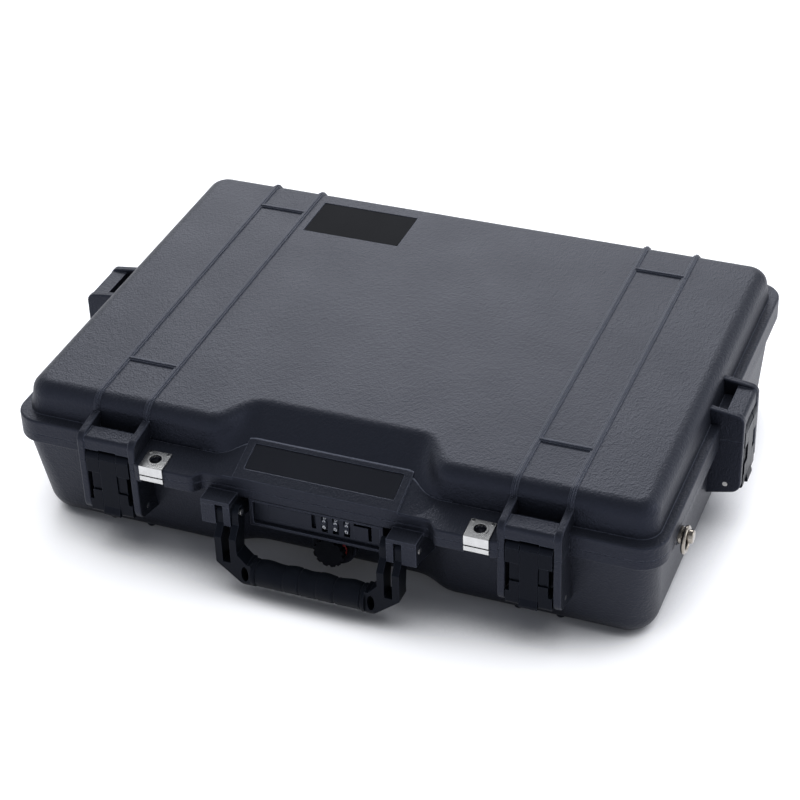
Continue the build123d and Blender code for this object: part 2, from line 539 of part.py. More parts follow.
with BuildPart() as lid_rim:
    with BuildSketch(Plane.XY.offset(PARTING)):
        RectangleRounded(2 * RIM_X, 2 * RIM_Y, RIM_CORNER)
    extrude(amount=FLANGE_TOP - PARTING)
    fillet(lid_rim.faces().sort_by(Axis.Z)[-1].edges(), RIM_ROUND)
    with Locations((0, -DOME_FOOT_Y, PARTING)):
        Box(
            2 * BUMP_X, RIM_Y, 2 * (FLANGE_TOP - PARTING), align=(Align.CENTER, Align.MAX, Align.MIN),
            mode=Mode.SUBTRACT,
        )
    with BuildPart(mode=Mode.PRIVATE) as bump:
        add(bump_outline(PARTING))
        extrude(amount=FLANGE_TOP - PARTING)
        with BuildSketch(Plane.YZ):
            with BuildLine():
                Polyline(
                    (0, bump_top(0)), (-BUMP_Y - 1, bump_top(-BUMP_Y - 1)), (-BUMP_Y - 1, LID_TOP),
                    (0, LID_TOP), close=True,
                )
            make_face()
        extrude(amount=BUMP_X + 1, both=True, mode=Mode.SUBTRACT)
        front_edges = bump.edges().filter_by(
            lambda edge: edge.center().Z > (PARTING + BUMP_FRONT_TOP) / 2
            and edge.center().Y < -RIM_Y - PADLOCK_R and abs(edge.tangent_at(0.5).Z) < 0.5
        )
        fillet(front_edges, RIM_ROUND)
    add(bump.part)

with BuildPart() as lid_form:
    add(lid_rim.part)
    add(dome(0))
    for width, height in ((RIB_WIDTH, RIB_HEIGHT), (RIDGE_WIDTH, RIDGE_HEIGHT)):
        with BuildPart(mode=Mode.PRIVATE) as ribs:
            for side in (-1, 1):
                for offset_x in (-RIB_OFFSET, RIB_OFFSET):
                    with Locations((side * RIB_MIDDLE + offset_x, 0, LID_TOP)):
                        Box(width, 2 * RIM_Y, 60)
                with Locations(*[(side * RIB_MIDDLE, cross_y, LID_TOP) for cross_y in CROSS_RIBS_Y]):
                    Box(2 * RIB_OFFSET, width, 60)
            add(dome(height), mode=Mode.INTERSECT)
        add(ribs.part)
    add(nose.part)
    add(nose_ramp.part)
    add(nose_ramp.part.mirror(Plane.YZ))

with BuildPart() as lid_shell:
    add(lid_form.part)
    for seat in HINGE_SEATS.values():
        with Locations(seat):
            add(lid_ears.part)
    # recesses for the label and the front panel, and the padlock holes
    with Locations(((LABEL_X0 + LABEL_X1) / 2, (LABEL_Y0 + LABEL_Y1) / 2, LID_TOP)):
        Box(LABEL_X1 - LABEL_X0, LABEL_Y1 - LABEL_Y0, 2 * LABEL_RECESS, mode=Mode.SUBTRACT)
    with BuildSketch(panel_plane):
        RectangleRounded(2 * PANEL_X, PANEL_DEPTH, PANEL_CORNER)
    extrude(amount=-PANEL_RECESS, mode=Mode.SUBTRACT)
    for side in (-1, 1):
        with Locations((side * PADLOCK_X, PADLOCK_Y, PARTING)):
            Cylinder(PADLOCK_R, PADLOCK_CUT, mode=Mode.SUBTRACT)
    # cavity
    with BuildSketch(Plane.XY.offset(PARTING)):
        RectangleRounded(
            2 * (DOME_FOOT_X - LID_WALL), 2 * (DOME_FOOT_Y - 2 * LID_WALL), DOME_FOOT_CORNER - LID_WALL
        )
    extrude(amount=FLANGE_TOP - PARTING, mode=Mode.SUBTRACT)
    cavity_foot = (
        DOME_FOOT_X - LID_WALL, DOME_FOOT_Y - 2 * LID_WALL, LID_CAVITY_CORNERS[0],
        LID_SCOOP_FOOT - 2 * LID_WALL,
    )
    cavity_top = (
        DOME_TOP_X - LID_WALL, DOME_TOP_Y - 2 * LID_WALL, LID_CAVITY_CORNERS[1], LID_SCOOP_TOP - LID_WALL,
    )
    loft(
        sections=[
            shell_outline(FLANGE_TOP, *cavity_foot),
            shell_outline(LID_TOP - LID_WALL, *cavity_top),
        ],
        ruled=True, mode=Mode.SUBTRACT,
    )
    # groove for the gasket
    with BuildSketch(Plane.XY.offset(PARTING)):
        seal_ring(GROOVE_WIDTH)
    extrude(amount=GROOVE_DEPTH, mode=Mode.SUBTRACT)

with BuildPart() as front_room:
    add(ledge_room(DOME_FOOT_Y))
    with Locations((0, NOSE_BACK[0], PARTING)):
        Box(2 * BUMP_END, RIM_Y, LID_TOP - PARTING, align=(Align.CENTER, Align.MAX, Align.MIN))
    add(dome(0), mode=Mode.SUBTRACT)
with BuildPart() as lid_front_ledge:
    add(lid_shell.part)
    add(front_room.part, mode=Mode.INTERSECT)
with BuildPart() as lid_cover:
    add(lid_shell.part)
    add(front_room.part, mode=Mode.SUBTRACT)
finish(lid_cover, "lid_shell")
finish(lid_front_ledge, "lid_front_ledge")

for place, seat in LATCH_SEATS.items():
    with BuildPart() as guard:
        with Locations(seat):
            add(lid_guard.part)
        add(lid_form.part, mode=Mode.SUBTRACT)
    finish(guard, f"lid_latch_guard_{place}")

with BuildPart() as lid_gasket:
    with BuildSketch(Plane.XY.offset(PARTING + GROOVE_DEPTH - GASKET_HEIGHT)):
        seal_ring(GASKET_WIDTH)
    extrude(amount=GASKET_HEIGHT)
finish(lid_gasket, "lid_gasket")

# ---- bare plates in their recesses -------------------------------------------------------
with BuildPart() as lid_label:
    with BuildSketch(Plane.XY.offset(LID_TOP - LABEL_RECESS)):
        with Locations(((LABEL_X0 + LABEL_X1) / 2, (LABEL_Y0 + LABEL_Y1) / 2)):
            RectangleRounded(
                LABEL_X1 - LABEL_X0 - 2 * PLATE_GAP, LABEL_Y1 - LABEL_Y0 - 2 * PLATE_GAP, LABEL_CORNER
            )
    extrude(amount=LABEL_THICKNESS)
finish(lid_label, "lid_label_plate")

with BuildPart() as front_panel:
    with BuildSketch(panel_plane.offset(-PANEL_RECESS)):
        RectangleRounded(2 * (PANEL_X - PLATE_GAP), PANEL_DEPTH - 2 * PLATE_GAP, PANEL_CORNER)
    extrude(amount=PANEL_THICKNESS)
finish(front_panel, "front_panel_plate")

# ---- hinge pins, fixed in the base's ears --------------------------------------------------
for name, middle in (("left", -RIB_MIDDLE), ("right", RIB_MIDDLE)):
    with BuildPart() as hinge_pin:
        with Locations(Location((middle, RIM_Y + HINGE_OUT, PARTING), (0, 90, 0))):
            Cylinder(HINGE_PIN_R, 2 * (LID_EAR_OUT + FIT))
        for side in (-1, 1):
            head_x = middle + side * (LID_EAR_OUT + FIT + PIN_HEAD / 2)
            with Locations(Location((head_x, RIM_Y + HINGE_OUT, PARTING), (0, 90, 0))):
                Cylinder(PIN_HEAD_R, PIN_HEAD)
    finish(hinge_pin, f"hinge_pin_{name}")

# ---- one latch, drawn about the rim's face with -Y outward -----------------------------------
plate_back = -LATCH_FACE + LATCH_PLATE
with BuildPart() as latch_frame:
    with BuildSketch(Plane.YZ):
        with BuildLine():
            Polyline(
                (-LATCH_FACE, LATCH_BOTTOM), (plate_back, LATCH_BOTTOM), (plate_back, LEVER_PIN_UP),
                (-LATCH_FACE, LEVER_PIN_UP), close=True,
            )
        make_face()
        fillet(vertices().group_by(Axis.X)[0].sort_by(Axis.Y)[0], LATCH_FOOT_ROUND)
        with Locations((-LEVER_PIN_OUT, LEVER_PIN_UP)):
            Circle(LATCH_ROLL_R)
    extrude(amount=LATCH_HALF, both=True)
    with BuildSketch(Plane.YZ):
        with BuildLine():
            Polyline(
                (plate_back, LATCH_PIN_UP - BARREL_R), (-LATCH_PIN_OUT, LATCH_PIN_UP - BARREL_R),
                (-LATCH_PIN_OUT, LATCH_PIN_UP + BARREL_R), (plate_back, LATCH_PIN_UP + 2 * BARREL_R),
                close=True,
            )
        make_face()
        with Locations((-LATCH_PIN_OUT, LATCH_PIN_UP)):
            Circle(BARREL_R)
    extrude(amount=BARREL_HALF, both=True)
    Box(
        2 * LATCH_WINDOW, THROUGH, KEEPER_UNDERSIDE, align=(Align.CENTER, Align.CENTER, Align.MIN),
        mode=Mode.SUBTRACT,
    )
    with Locations((0, plate_back, LATCH_TIE_UP)):
        Box(2 * LATCH_TIE_HALF, LATCH_TIE_SHEET, LATCH_TIE_HEIGHT)
    with Locations((0, -LATCH_FACE, LATCH_SLIT_UP)):
        Box(2 * LATCH_HALF + 1, 2 * LATCH_SLIT_DEPTH, LATCH_SLIT, mode=Mode.SUBTRACT)
    with Locations((0, -LATCH_FACE, LATCH_STEP_UP)):
        Box(
            2 * LATCH_HALF + 1, 2 * LATCH_STEP, LATCH_STEP_UP - LATCH_SLIT_UP,
            align=(Align.CENTER, Align.CENTER, Align.MAX), mode=Mode.SUBTRACT,
        )
    with Locations(*[(side * LATCH_HALF, 0, LATCH_STEP_UP) for side in (-1, 1)]):
        Box(
            2 * LATCH_WAIST, THROUGH, LATCH_STEP_UP - LATCH_WAIST_UP,
            align=(Align.CENTER, Align.CENTER, Align.MAX), mode=Mode.SUBTRACT,
        )
    with Locations(Location((0, -LATCH_PIN_OUT, LATCH_PIN_UP), (0, 90, 0))):
        Cylinder(LATCH_PIN_R + RUNNING, THROUGH, mode=Mode.SUBTRACT)
    with Locations(Location((0, -LEVER_PIN_OUT, LEVER_PIN_UP), (0, 90, 0))):
        Cylinder(LEVER_PIN_R, 2 * LEVER_PIN_HALF, mode=Mode.SUBTRACT)

with BuildPart() as latch_lever:
    with BuildSketch(Plane.YZ):
        with BuildLine():
            Polyline(
                (-LATCH_FACE, LEVER_PIN_UP), (-LATCH_FACE, LEVER_BOTTOM + LEVER_LIP_START),
                (-LATCH_FACE - LEVER_LIP, LEVER_BOTTOM + LEVER_LIP_END),
                (-LATCH_FACE - LEVER_LIP, LEVER_BOTTOM), (-LATCH_FACE + LEVER_BEVEL[0], LEVER_BOTTOM),
                (-LATCH_FACE + LEVER_SHEET, LEVER_BOTTOM + LEVER_BEVEL[1]),
                (-LATCH_FACE + LEVER_SHEET, LEVER_PIN_UP), close=True,
            )
        make_face()
        fillet(vertices().group_by(Axis.X)[0], LEVER_ROUND)
        with Locations((-LEVER_PIN_OUT, LEVER_PIN_UP)):
            Circle(LEVER_HEAD_R)
    extrude(amount=LEVER_HALF, both=True)
    with Locations(Location((0, -LEVER_PIN_OUT, LEVER_PIN_UP), (0, 90, 0))):
        Cylinder(LEVER_PIN_R + RUNNING, THROUGH, mode=Mode.SUBTRACT)

with BuildPart() as latch_pivot_pin:
    with Locations(Location((0, -LATCH_PIN_OUT, LATCH_PIN_UP), (0, 90, 0))):
        Cylinder(LATCH_PIN_R, 2 * RIB_OFFSET + FIN_THICKNESS)

with BuildPart() as latch_lever_pin:
    with Locations(Location((0, -LEVER_PIN_OUT, LEVER_PIN_UP), (0, 90, 0))):
        Cylinder(LEVER_PIN_R, 2 * LEVER_PIN_HALF)

LATCH_PIECES = {
    "latch_frame": latch_frame, "latch_lever": latch_lever,
    "latch_pivot_pin": latch_pivot_pin, "latch_lever_pin": latch_lever_pin,
}
for place, seat in LATCH_SEATS.items():
    for piece_name, piece in LATCH_PIECES.items():
        with BuildPart() as placed:
            with Locations(seat):
                add(piece.part)
        finish(placed, f"{piece_name}_{place}")

# ---- handle --------------------------------------------------------------------------------------
with BuildPart() as handle_frame:
    with BuildSketch(Plane.YZ):
        with Locations((PIVOT_Y, PIVOT_Z)):
            Circle(PRONG_HEAD_R)
        with BuildLine():
            Polyline(
                (PIVOT_Y - PRONG_HEAD_R, PIVOT_Z), (PIVOT_Y - PRONG_HEAD_R, PIVOT_Z - PRONG_DROP),
                (ARM_FRONT, PIVOT_Z - ARM_SHOULDER), (ARM_FRONT, ARM_BOTTOM), (ARM_BACK, ARM_BOTTOM),
                (ARM_BACK, ARM_BACK_KNEE), (PIVOT_Y + PRONG_HEAD_R, PIVOT_Z - PRONG_DROP),
                (PIVOT_Y + PRONG_HEAD_R, PIVOT_Z), close=True,
            )
        make_face()
        fillet(vertices().group_by(Axis.Y)[0], ARM_FOOT_ROUND)
    extrude(amount=ARM_OUT, both=True)
    with BuildSketch(Plane.XZ.offset(-ARM_BACK - THROUGH / 2)):
        inner_face = BRACKET_IN - SIDE_GAP - INNER_PRONG
        for side in (-1, 1):
            with BuildLine():
                Polyline(
                    (side * inner_face, LIP_BOTTOM), (side * ARM_OUT, LIP_BOTTOM),
                    (side * ARM_OUT, ARM_OUTER_KNEE), (side * (GRIP_HALF + FOOT_X_OUT), ARM_BOTTOM),
                    (side * GRIP_HALF, ARM_BOTTOM), (side * GRIP_HALF, GUSSET_TOP),
                    (side * (GRIP_HALF + GUSSET_X), GUSSET_TOP), (side * inner_face, GUSSET_OUTER),
                    close=True,
                )
            make_face()
        with Locations(*[(side * (GRIP_HALF + FOOT_X_OUT), FOOT_HOLE_Z) for side in (-1, 1)]):
            Ellipse(*FOOT_HOLE, mode=Mode.SUBTRACT)
    extrude(amount=THROUGH, mode=Mode.INTERSECT)
    for side in (-1, 1):
        with Locations((side * (BRACKET_IN + SLOT_IN) / 2, PIVOT_Y, FORK_BOTTOM)):
            Box(
                SLOT_IN - BRACKET_IN + 2 * SIDE_GAP, THROUGH, THROUGH,
                align=(Align.CENTER, Align.CENTER, Align.MIN), mode=Mode.SUBTRACT,
            )
        with Locations(Location((side * BRACKET_IN, PIVOT_Y, PIVOT_Z), (0, 90, 0))):
            Cylinder(HANDLE_PIN_R + RUNNING, THROUGH, mode=Mode.SUBTRACT)
    with Locations((0, GRIP_Y, GRIP_Z)):
        Box(2 * GRIP_HALF, CORE_DEPTH, CORE_HEIGHT)
finish(handle_frame, "handle_frame")

with BuildPart() as handle_grip:
    for station in range(GRIP_STATIONS + 1):
        along = -GRIP_HALF + 2 * GRIP_HALF * station / GRIP_STATIONS
        wave = GRIP_WAVE * GRIP_WAVE_SHARES[station % len(GRIP_WAVE_SHARES)]
        with BuildSketch(Plane.YZ.offset(along)):
            with Locations((GRIP_Y, GRIP_Z + wave / 2)):
                Ellipse(GRIP_DEPTH / 2, GRIP_HEIGHT / 2 + wave / 2)
    loft(ruled=True)
    with Locations((0, GRIP_Y, GRIP_Z)):
        Box(2 * GRIP_HALF, CORE_DEPTH, CORE_HEIGHT, mode=Mode.SUBTRACT)
finish(handle_grip, "handle_grip")

for name, side in (("left", -1), ("right", 1)):
    with BuildPart() as handle_pin:
        pin_in = BRACKET_IN - SIDE_GAP - INNER_PRONG - 1
        pin_out = BRACKET_OUT + HANDLE_PIN_END
        with Locations(Location((side * (pin_in + pin_out) / 2, PIVOT_Y, PIVOT_Z), (0, 90, 0))):
            Cylinder(HANDLE_PIN_R, pin_out - pin_in)
    finish(handle_pin, f"handle_pin_{name}")

# ---- combination lock ----------------------------------------------------------------------------
with BuildPart() as lock_housing:
    with Locations((0, (LOCK_FACE + LOCK_BACK) / 2, (LOCK_BOTTOM + LOCK_TOP) / 2)):
        Box(2 * LOCK_X, LOCK_BACK - LOCK_FACE, LOCK_TOP - LOCK_BOTTOM)
    # recess for the slider, and the space behind it for the bolt and the hasp
    slider_mid_z = (SLIDER_Z0 + SLIDER_Z1) / 2
    with Locations(((SLIDER_X0 + SLIDER_X1 + SLIDER_TRAVEL) / 2, LOCK_FACE, slider_mid_z)):
        Box(
            SLIDER_X1 - SLIDER_X0 + SLIDER_TRAVEL + 2 * FIT, 2 * SLIDER_RECESS,
            SLIDER_Z1 - SLIDER_Z0 + 2 * FIT, mode=Mode.SUBTRACT,
        )
    with Locations(((BOLT_X0 + HASP_X1) / 2, LOCK_FACE + SLIDER_RECESS, HASP_BOTTOM - HASP_ROOM)):
        Box(
            HASP_X1 - BOLT_X0 + 3 * HASP_ROOM, BOLT_ROOM, THROUGH,
            align=(Align.CENTER, Align.MIN, Align.MIN), mode=Mode.SUBTRACT,
        )
    for dial_x in DIAL_X:
        with Locations((dial_x, DIAL_Y, DIAL_Z)):
            Box(DIAL_WIDTH + 2 * FIT, THROUGH, 2 * (DIAL_R + FIT), mode=Mode.SUBTRACT)
    with Locations(Location(((DIAL_X[0] + DIAL_X[-1]) / 2, DIAL_Y, DIAL_Z), (0, 90, 0))):
        Cylinder(DIAL_AXLE_R, DIAL_AXLE, mode=Mode.SUBTRACT)
    with Locations((BUTTON_X0 - FIT, LOCK_FACE, BUTTON_Z0 - FIT)):
        Box(
            BUTTON_X1 - BUTTON_X0 + BUTTON_ROOM[0], 2 * BUTTON_DEPTH, BUTTON_Z1 - BUTTON_Z0 + BUTTON_ROOM[1],
            align=(Align.MIN, Align.CENTER, Align.MIN), mode=Mode.SUBTRACT,
        )
finish(lock_housing, "lock_housing")

with BuildPart() as lock_slider:
    with Locations(((SLIDER_X0 + SLIDER_X1) / 2, LOCK_FACE - SLIDER_PROUD, slider_mid_z)):
        Box(
            SLIDER_X1 - SLIDER_X0, SLIDER_SHEET, SLIDER_Z1 - SLIDER_Z0,
            align=(Align.CENTER, Align.MIN, Align.CENTER),
        )
    with Locations(((BOLT_X0 + BOLT_X1) / 2, LOCK_FACE, (NOTCH_Z0 + NOTCH_Z1) / 2)):
        Box(
            BOLT_X1 - BOLT_X0, BOLT_BACK - LOCK_FACE, NOTCH_Z1 - NOTCH_Z0 - 2 * HASP_ROOM,
            align=(Align.CENTER, Align.MIN, Align.CENTER),
        )
finish(lock_slider, "lock_slider")

for number, dial_x in enumerate(DIAL_X, 1):
    with BuildPart() as dial:
        with Locations(Location((dial_x, DIAL_Y, DIAL_Z), (0, 90, 0))):
            Cylinder(DIAL_R, DIAL_WIDTH)
            with PolarLocations(DIAL_R, DIGITS, start_angle=180 / DIGITS):
                Box(CLICK_NOTCH, CLICK_NOTCH, DIAL_WIDTH, mode=Mode.SUBTRACT)
            Cylinder(DIAL_AXLE_R + RUNNING, DIAL_WIDTH, mode=Mode.SUBTRACT)
    finish(dial, f"lock_dial_{number}")

with BuildPart() as dial_axle:
    with Locations(Location(((DIAL_X[0] + DIAL_X[-1]) / 2, DIAL_Y, DIAL_Z), (0, 90, 0))):
        Cylinder(DIAL_AXLE_R, DIAL_AXLE)
finish(dial_axle, "lock_dial_axle")

with BuildPart() as lock_button:
    with Locations((BUTTON_X0, LOCK_FACE - BUTTON_PROUD, BUTTON_Z0)):
        Box(
            BUTTON_X1 - BUTTON_X0, BUTTON_LONG, BUTTON_Z1 - BUTTON_Z0,
            align=(Align.MIN, Align.MIN, Align.MIN),
        )
finish(lock_button, "lock_button")

with BuildPart() as lock_hasp:
    with Locations(((HASP_X0 + HASP_X1) / 2, HASP_Y, PARTING)):
        Box(
            HASP_X1 - HASP_X0, HASP_SHEET, PARTING - HASP_BOTTOM,
            align=(Align.CENTER, Align.CENTER, Align.MAX),
        )
    with Locations((HASP_X0, HASP_Y, (NOTCH_Z0 + NOTCH_Z1) / 2)):
        Box(2 * NOTCH_DEPTH, THROUGH, NOTCH_Z1 - NOTCH_Z0, mode=Mode.SUBTRACT)
finish(lock_hasp, "lock_hasp")

# ---- padlock protectors: an angle of sheet on each rim, with the hole through both ---------------
plate_front = -BUMP_Y - PLATE_SHEET
slope_angle = math.degrees(math.atan2(BUMP_BACK_TOP - BUMP_FRONT_TOP, BUMP_Y - DOME_FOOT_Y))
for side_name, side in (("left", -1), ("right", 1)):
    for rim_name, back_z, front_z, edge_z, up, tilt in (
        ("lid", bump_top(PLATE_BACK), bump_top(-BUMP_Y), PARTING + PLATE_BACK_OFF, 1, slope_angle),
        ("base", PADLOCK_UNDERSIDE, PADLOCK_UNDERSIDE, PARTING - SEAM - PLATE_BACK_OFF, -1, 0),
    ):
        with BuildPart() as plate:
            with BuildSketch(Plane.YZ.offset(side * PADLOCK_X)):
                with BuildLine():
                    Polyline(
                        (PLATE_BACK, back_z), (-BUMP_Y, front_z), (-BUMP_Y, edge_z),
                        (plate_front, edge_z), (plate_front, front_z + up * PLATE_SHEET),
                        (PLATE_BACK, back_z + up * PLATE_SHEET), close=True,
                    )
                make_face()
            extrude(amount=PLATE_HALF, both=True)
            eye_share = (PADLOCK_Y - PLATE_BACK) / (-BUMP_Y - PLATE_BACK)
            eye_z = back_z + eye_share * (front_z - back_z) + up * (PLATE_SHEET + EYE_HEIGHT) / 2
            with Locations(Location((side * PADLOCK_X, PADLOCK_Y, eye_z), (tilt, 0, 0))):
                Cylinder(PADLOCK_R + EYE_WIDTH, PLATE_SHEET + EYE_HEIGHT - EYE_SUNK)
            nub_z = back_z + up * (PLATE_SHEET + EYE_HEIGHT - EYE_SUNK) / 2
            for across in (-1, 1):
                dimple_x = side * PADLOCK_X + across * (PLATE_HALF - DIMPLE_INSET)
                with Locations((dimple_x, PLATE_BACK - DIMPLE_INSET, nub_z)):
                    Cylinder(DIMPLE_R, PLATE_SHEET + EYE_HEIGHT - EYE_SUNK)
            with Locations((side * PADLOCK_X, PADLOCK_Y, back_z)):
                Cylinder(PADLOCK_R, PADLOCK_CUT, mode=Mode.SUBTRACT)
        finish(plate, f"padlock_plate_{rim_name}_{side_name}")

# ---- purge valve ---------------------------------------------------------------------------------
valve_axis = Plane(origin=(VALVE_X, VALVE_SEAT_Y, VALVE_Z), x_dir=(1, 0, 0), z_dir=(0, -1, 0))
with BuildPart() as valve_body:
    with BuildSketch(valve_axis):
        Circle(VALVE_FLANGE_R)
    extrude(amount=VALVE_FLANGE)
    with BuildSketch(valve_axis.offset(-VALVE_SHANK)):
        Circle(VALVE_SHANK_R)
    extrude(amount=VALVE_SHANK)
    with BuildSketch(valve_axis.offset(-BORE_START)):
        Circle(VALVE_STEM_R + RUNNING)
    extrude(amount=VALVE_STEM, mode=Mode.SUBTRACT)
finish(valve_body, "valve_body")

with BuildPart() as valve_oring:
    with Locations(Location((VALVE_X, VALVE_SEAT_Y - VALVE_FLANGE - ORING_CORD, VALVE_Z), (90, 0, 0))):
        Torus(ORING_R, ORING_CORD)
finish(valve_oring, "valve_oring")

with BuildPart() as valve_knob:
    with BuildSketch(valve_axis.offset(VALVE_STEM - BORE_START)):
        Circle(VALVE_KNOB_R)
        with PolarLocations(VALVE_KNOB_R, KNURLS):
            Circle(KNURL_R, mode=Mode.SUBTRACT)
    extrude(amount=VALVE_KNOB)
    with BuildSketch(valve_axis.offset(-STEM_START)):
        Circle(VALVE_STEM_R)
    extrude(amount=VALVE_STEM)
finish(valve_knob, "valve_knob")

# ---- strap studs and their rings -----------------------------------------------------------------
for name, side in (("left", -1), ("right", 1)):
    stud_axis = Plane(origin=(side * RIM_X, STUD_Y, STUD_Z), x_dir=(0, 1, 0), z_dir=(side, 0, 0))
    with BuildPart() as stud:
        with BuildSketch(stud_axis.offset(-STUD_SHANK)):
            Circle(STUD_SHANK_R)
        extrude(amount=STUD_SHANK)
        start = 0.0
        for radius, length in (
            (STUD_COLLAR_R, STUD_COLLAR), (STUD_NECK_R, STUD_NECK), (STUD_HEAD_R, STUD_HEAD),
        ):
            with BuildSketch(stud_axis.offset(start)):
                Circle(radius)
            extrude(amount=length)
            start += length
        head_edge = stud.edges().filter_by(GeomType.CIRCLE).sort_by(Axis.X)[-1 if side > 0 else 0]
        fillet(head_edge, STUD_HEAD_ROUND)
    finish(stud, f"strap_stud_{name}")
    with BuildPart() as ring:
        ring_x = side * (RIM_X + STUD_COLLAR + STUD_NECK / 2)
        ring_z = STUD_Z + STUD_NECK_R + FIT + RING_WIRE - RING_R
        with Locations(Location((ring_x, STUD_Y, ring_z), (0, 90, 0))):
            Torus(RING_R, RING_WIRE)
    finish(ring, f"strap_ring_{name}")

# ---- linings -------------------------------------------------------------------------------------
with BuildPart() as base_foam:
    foam_foot = tuple(size - FIT for size in inner_foot)
    foam_wall = tuple(size - 2 * FIT for size in inner_wall)
    add(tub(FLOOR, FOAM_TOP, foam_foot, foam_wall, BASE_EDGE - BASE_WALL))
    with BuildSketch(Plane.XY.offset(POCKET_FLOOR)):
        RectangleRounded(2 * POCKET_X, 2 * POCKET_Y, POCKET_CORNER)
        with Locations((0, -POCKET_Y), (0, POCKET_Y)):
            SlotOverall(FINGER_LONG, FINGER_WIDE)
    extrude(amount=THROUGH, mode=Mode.SUBTRACT)
finish(base_foam, "base_foam")

with BuildPart() as lid_foam:
    foam_x, foam_y = DOME_FOOT_X - LID_WALL - FIT, BASE_SCOOP_WALL - BASE_WALL - 1
    with BuildSketch(Plane.XY.offset(LID_FOAM_BOTTOM)):
        RectangleRounded(2 * foam_x, 2 * foam_y, LID_CAVITY_CORNERS[0])
    extrude(amount=FLANGE_TOP - LID_FOAM_BOTTOM)
    foam_low = tuple(size - FIT for size in cavity_foot)
    foam_high = tuple(size - 2 * FIT for size in cavity_top)
    loft(
        sections=[
            shell_outline(FLANGE_TOP, *foam_low), shell_outline(LID_TOP - LID_WALL - FIT, *foam_high),
        ],
        ruled=True,
    )
finish(lid_foam, "lid_foam")
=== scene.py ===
import math

import bmesh
import bpy
from mathutils import Matrix, Vector


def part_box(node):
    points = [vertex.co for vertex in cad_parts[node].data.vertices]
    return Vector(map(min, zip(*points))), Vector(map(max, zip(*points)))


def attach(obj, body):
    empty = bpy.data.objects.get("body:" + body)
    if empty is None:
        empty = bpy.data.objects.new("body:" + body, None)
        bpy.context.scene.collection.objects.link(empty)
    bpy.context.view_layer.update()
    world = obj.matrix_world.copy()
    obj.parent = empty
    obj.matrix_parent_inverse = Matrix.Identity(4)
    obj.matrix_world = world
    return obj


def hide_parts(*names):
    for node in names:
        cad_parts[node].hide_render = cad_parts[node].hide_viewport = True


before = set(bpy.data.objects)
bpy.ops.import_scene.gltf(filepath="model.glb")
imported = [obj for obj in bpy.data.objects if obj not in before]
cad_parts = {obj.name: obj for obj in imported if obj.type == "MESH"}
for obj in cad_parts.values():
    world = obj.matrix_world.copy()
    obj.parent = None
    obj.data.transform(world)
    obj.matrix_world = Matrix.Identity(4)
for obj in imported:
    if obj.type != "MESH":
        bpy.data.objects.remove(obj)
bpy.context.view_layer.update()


# ---- Camera -------------------------------------------------------------------
# A long lens looks down on the case from the front right, a little rolled.

camera_data = bpy.data.cameras.new("camera")
camera_data.lens = 99.09
camera_data.sensor_fit = "HORIZONTAL"
camera_data.sensor_width = 36.0
camera_data.clip_start = 0.05
camera = bpy.data.objects.new("camera", camera_data)
camera.location = (0.5511, -1.3699, 1.0748)
camera.rotation_euler = [math.radians(angle) for angle in (55.240, 1.668, 21.146)]
bpy.context.scene.collection.objects.link(camera)
bpy.context.scene.camera = camera
